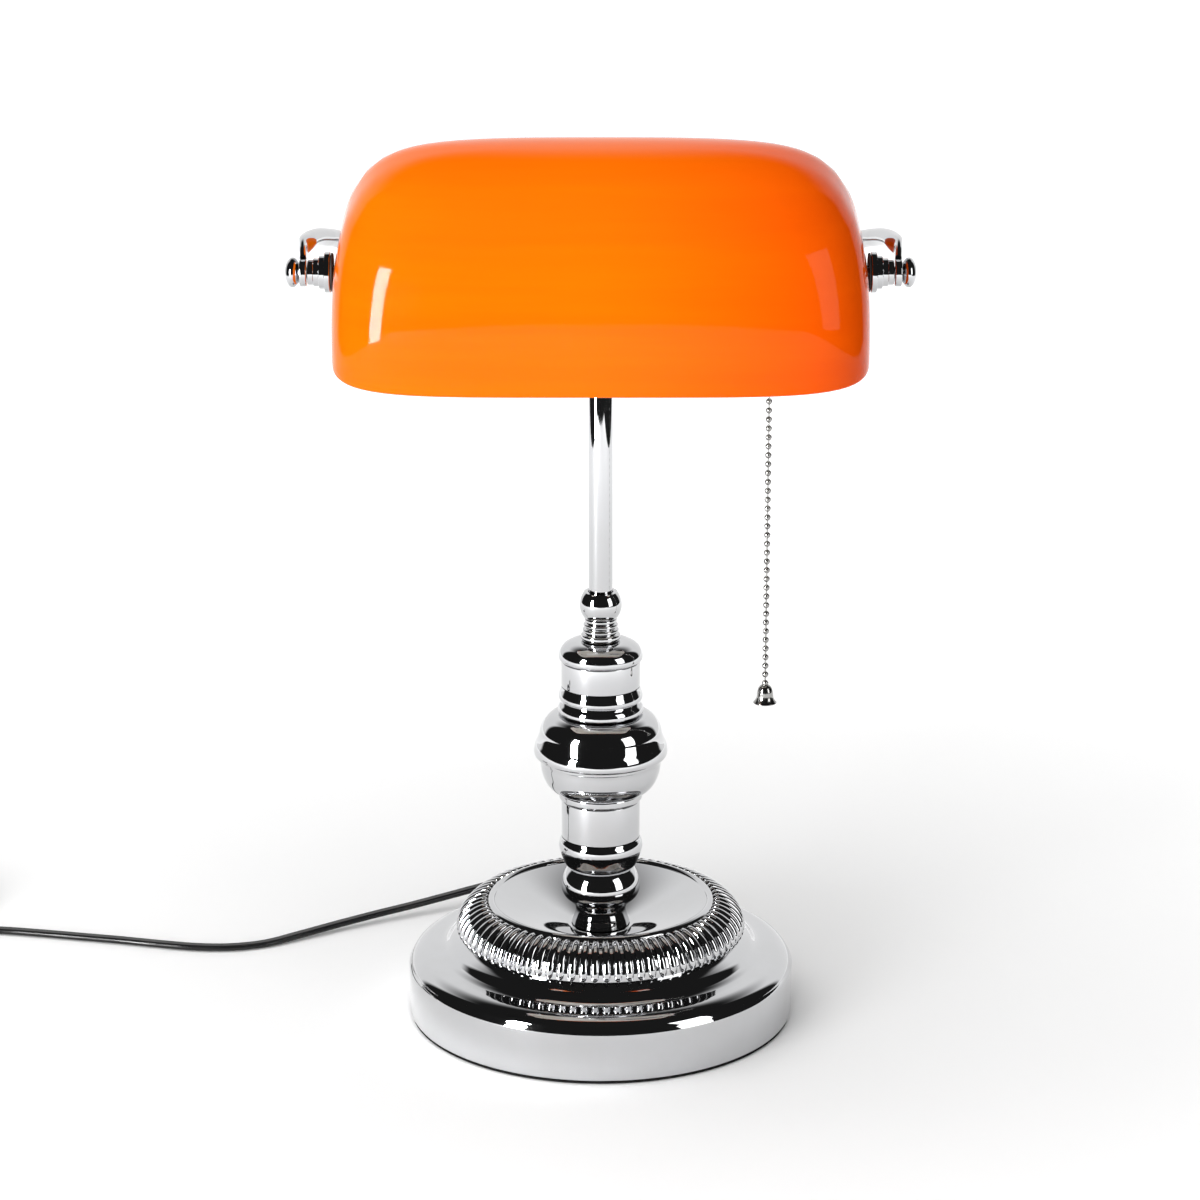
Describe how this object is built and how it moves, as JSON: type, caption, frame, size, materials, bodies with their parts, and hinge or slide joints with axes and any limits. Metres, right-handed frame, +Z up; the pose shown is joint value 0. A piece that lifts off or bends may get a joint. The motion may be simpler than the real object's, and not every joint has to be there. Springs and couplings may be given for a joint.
{
  "type": "banker desk lamp",
  "caption": "Desk lamp with a weighted round base, turned metal column, slim stem, two-armed yoke and a tilting half-barrel glass shade with a pull-chain switch.",
  "frame": {"origin": "middle of the underside of the foot pad, on the table", "axes": "+Z up, -Y towards the front of the lamp, +X to the right seen from the front, along the shade"},
  "size_m": [0.5782, 0.2375, 0.3889],
  "materials": {
    "chrome": "mirror-polished chrome plate",
    "plain_steel": "zinc-plated steel",
    "cast_iron": "black-painted casting",
    "felt": "black felt",
    "chain_metal": "nickel-plated bead chain",
    "socket_metal": "plated lampholder",
    "insulator": "moulded phenolic",
    "bulb_metal": "screw cap",
    "bulb_glass": "frosted tubular bulb",
    "shade_glass": "glossy orange cased glass, white inside",
    "rubber": "soft washers",
    "cord_plastic": "black flexible PVC",
    "plug_metal": "plug blades"
  },
  "bodies": {
    "base": {"foot_pad": "felt", "base_plate": "plain_steel", "base_washer": "plain_steel", "base_nut": "plain_steel", "threaded_rod": "plain_steel", "hub_nipple": "plain_steel", "hub_nut": "plain_steel", "socket_bracket": "plain_steel", "socket_nipple": "plain_steel", "socket_nut": "plain_steel", "base_weight": "cast_iron", "base_cover": "chrome", "column_foot": "chrome", "column_cup": "chrome", "lower_column": "chrome", "lower_vase": "chrome", "upper_vase": "chrome", "column_rings": "chrome", "upper_column": "chrome", "column_cap": "chrome", "stem_collar": "chrome", "stem_ball": "chrome", "stem_tube": "chrome", "yoke_hub": "chrome", "left_arm": "chrome", "right_arm": "chrome", "chain_guide": "chain_metal", "socket_cap": "socket_metal", "socket_shell": "socket_metal", "socket_insulator": "insulator", "cord_strain_relief": "cord_plastic", "mains_cord": "cord_plastic", "cord_coil": "cord_plastic", "cord_tail": "cord_plastic", "plug_body": "cord_plastic", "plug_prong_a": "plug_metal", "plug_prong_b": "plug_metal"},
    "shade": {"shade_glass": "shade_glass", "left_outer_washer": "rubber", "left_spacer": "chrome", "left_inner_washer": "rubber", "left_inner_nut": "plain_steel", "left_pivot_stud": "plain_steel", "right_outer_washer": "rubber", "right_spacer": "chrome", "right_inner_washer": "rubber", "right_inner_nut": "plain_steel", "right_pivot_stud": "plain_steel"},
    "left_knob": {"left_knob": "chrome"},
    "right_knob": {"right_knob": "chrome"},
    "bulb": {"bulb_cap": "bulb_metal", "bulb_glass": "bulb_glass"},
    "pull_switch": {"pull_link": "plain_steel"},
    "pull_chain": {"bead_chain": "chain_metal", "chain_bell": "chain_metal"}
  },
  "joints": [
    {"name": "shade_tilt", "type": "hinge", "parent": "base", "child": "shade", "pos_m": [0, 0, 0.333], "axis": [1, 0, 0], "range_deg": [-25, 12]},
    {"name": "left_knob_turn", "type": "hinge", "parent": "shade", "child": "left_knob", "pos_m": [-0.129, 0, 0.333], "axis": [1, 0, 0], "continuous": true},
    {"name": "right_knob_turn", "type": "hinge", "parent": "shade", "child": "right_knob", "pos_m": [0.129, 0, 0.333], "axis": [1, 0, 0], "continuous": true},
    {"name": "bulb_turn", "type": "hinge", "parent": "base", "child": "bulb", "pos_m": [0.05, 0, 0.325], "axis": [1, 0, 0], "continuous": true},
    {"name": "switch_pull", "type": "slide", "parent": "base", "child": "pull_switch", "axis": [0, 0, -1], "range_m": [0, 0.006], "stiffness_N_per_m": 300, "springref_m": -0.004},
    {"name": "chain_swing", "type": "hinge", "parent": "pull_switch", "child": "pull_chain", "pos_m": [0.0716, 0, 0.2998], "axis": [1, 0, 0], "range_deg": [-20, 20]}
  ]
}
